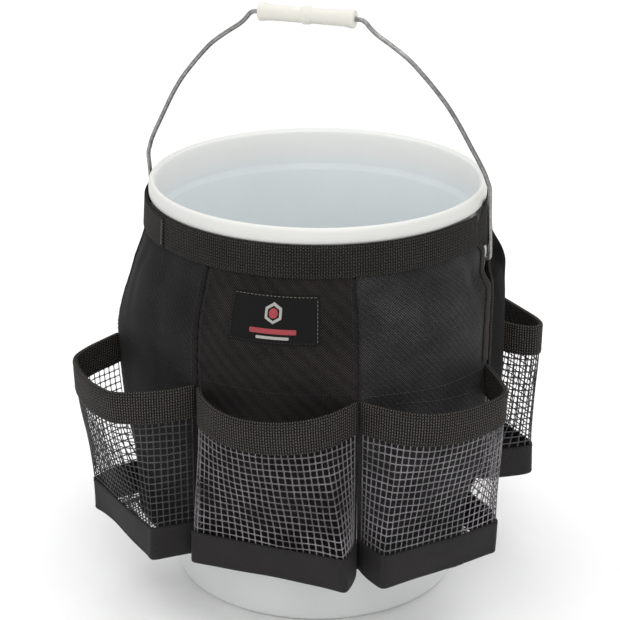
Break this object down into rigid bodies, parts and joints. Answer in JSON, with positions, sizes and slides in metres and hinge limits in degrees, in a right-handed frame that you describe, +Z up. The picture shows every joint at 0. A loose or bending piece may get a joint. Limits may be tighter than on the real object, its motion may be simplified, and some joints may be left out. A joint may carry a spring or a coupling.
{
  "type": "tool bucket organizer",
  "caption": "Black fabric organizer with outside mesh pockets wrapped around a round white pail with a wire bail and turning hand grip.",
  "frame": {"origin": "centre of the pail's base, on the floor it stands on", "axes": "+Z up; +X through the right-hand bail ear and the bail's pivot axis; -Y towards the labelled front"},
  "size_m": [0.3936, 0.4102, 0.5349],
  "materials": {
    "pail_plastic": "white moulded polyethylene, satin",
    "bail_steel": "drawn galvanised wire, dull grey",
    "grip_plastic": "ivory moulded plastic, satin",
    "skirt_fabric": "black coated polyester with a fine diagonal weave",
    "webbing": "brown-black ribbed webbing",
    "edge_tape": "folded black binding tape",
    "base_fabric": "black coated polyester, plain and smooth",
    "vinyl_mesh": "vinyl coated open mesh, slightly glossy strands",
    "label_cloth": "woven black label with a plain emblem"
  },
  "bodies": {
    "organizer": {"pail": "pail_plastic", "skirt_panel_front_right": "skirt_fabric", "skirt_panel_front_center": "skirt_fabric", "skirt_panel_front_left": "skirt_fabric", "skirt_panel_back_left": "skirt_fabric", "skirt_panel_back_center": "skirt_fabric", "skirt_panel_back_right": "skirt_fabric", "closing_panel_back_right": "skirt_fabric", "closing_panel_front_left": "skirt_fabric", "edge_binding_front_right": "edge_tape", "edge_binding_back_left": "edge_tape", "edge_binding_back_right": "edge_tape", "edge_binding_front_left": "edge_tape", "rim_band_front": "webbing", "rim_band_back": "webbing", "bridge_strap_right": "webbing", "bridge_strap_left": "webbing", "label_patch": "label_cloth", "pocket_mesh_front_right": "vinyl_mesh", "pocket_binding_front_right": "webbing", "pocket_base_band_front_right": "base_fabric", "pocket_floor_front_right": "vinyl_mesh", "pocket_mesh_front_center": "vinyl_mesh", "pocket_binding_front_center": "webbing", "pocket_base_band_front_center": "base_fabric", "pocket_floor_front_center": "vinyl_mesh", "pocket_mesh_front_left": "vinyl_mesh", "pocket_binding_front_left": "webbing", "pocket_base_band_front_left": "base_fabric", "pocket_floor_front_left": "vinyl_mesh", "pocket_mesh_back_left": "vinyl_mesh", "pocket_binding_back_left": "webbing", "pocket_base_band_back_left": "base_fabric", "pocket_floor_back_left": "vinyl_mesh", "pocket_mesh_back_center": "vinyl_mesh", "pocket_binding_back_center": "webbing", "pocket_base_band_back_center": "base_fabric", "pocket_floor_back_center": "vinyl_mesh", "pocket_mesh_back_right": "vinyl_mesh", "pocket_binding_back_right": "webbing", "pocket_base_band_back_right": "base_fabric", "pocket_floor_back_right": "vinyl_mesh"},
    "bail": {"bail_wire": "bail_steel"},
    "grip": {"bail_grip": "grip_plastic"}
  },
  "joints": [
    {"name": "bail_swing", "type": "hinge", "parent": "organizer", "child": "bail", "pos_m": [0, 0, 0.317], "axis": [1, 0, 0], "range_deg": [-88, 72]},
    {"name": "grip_spin", "type": "hinge", "parent": "bail", "child": "grip", "pos_m": [0, -0.0295, 0.52694], "axis": [1, 0, 0], "continuous": true}
  ]
}
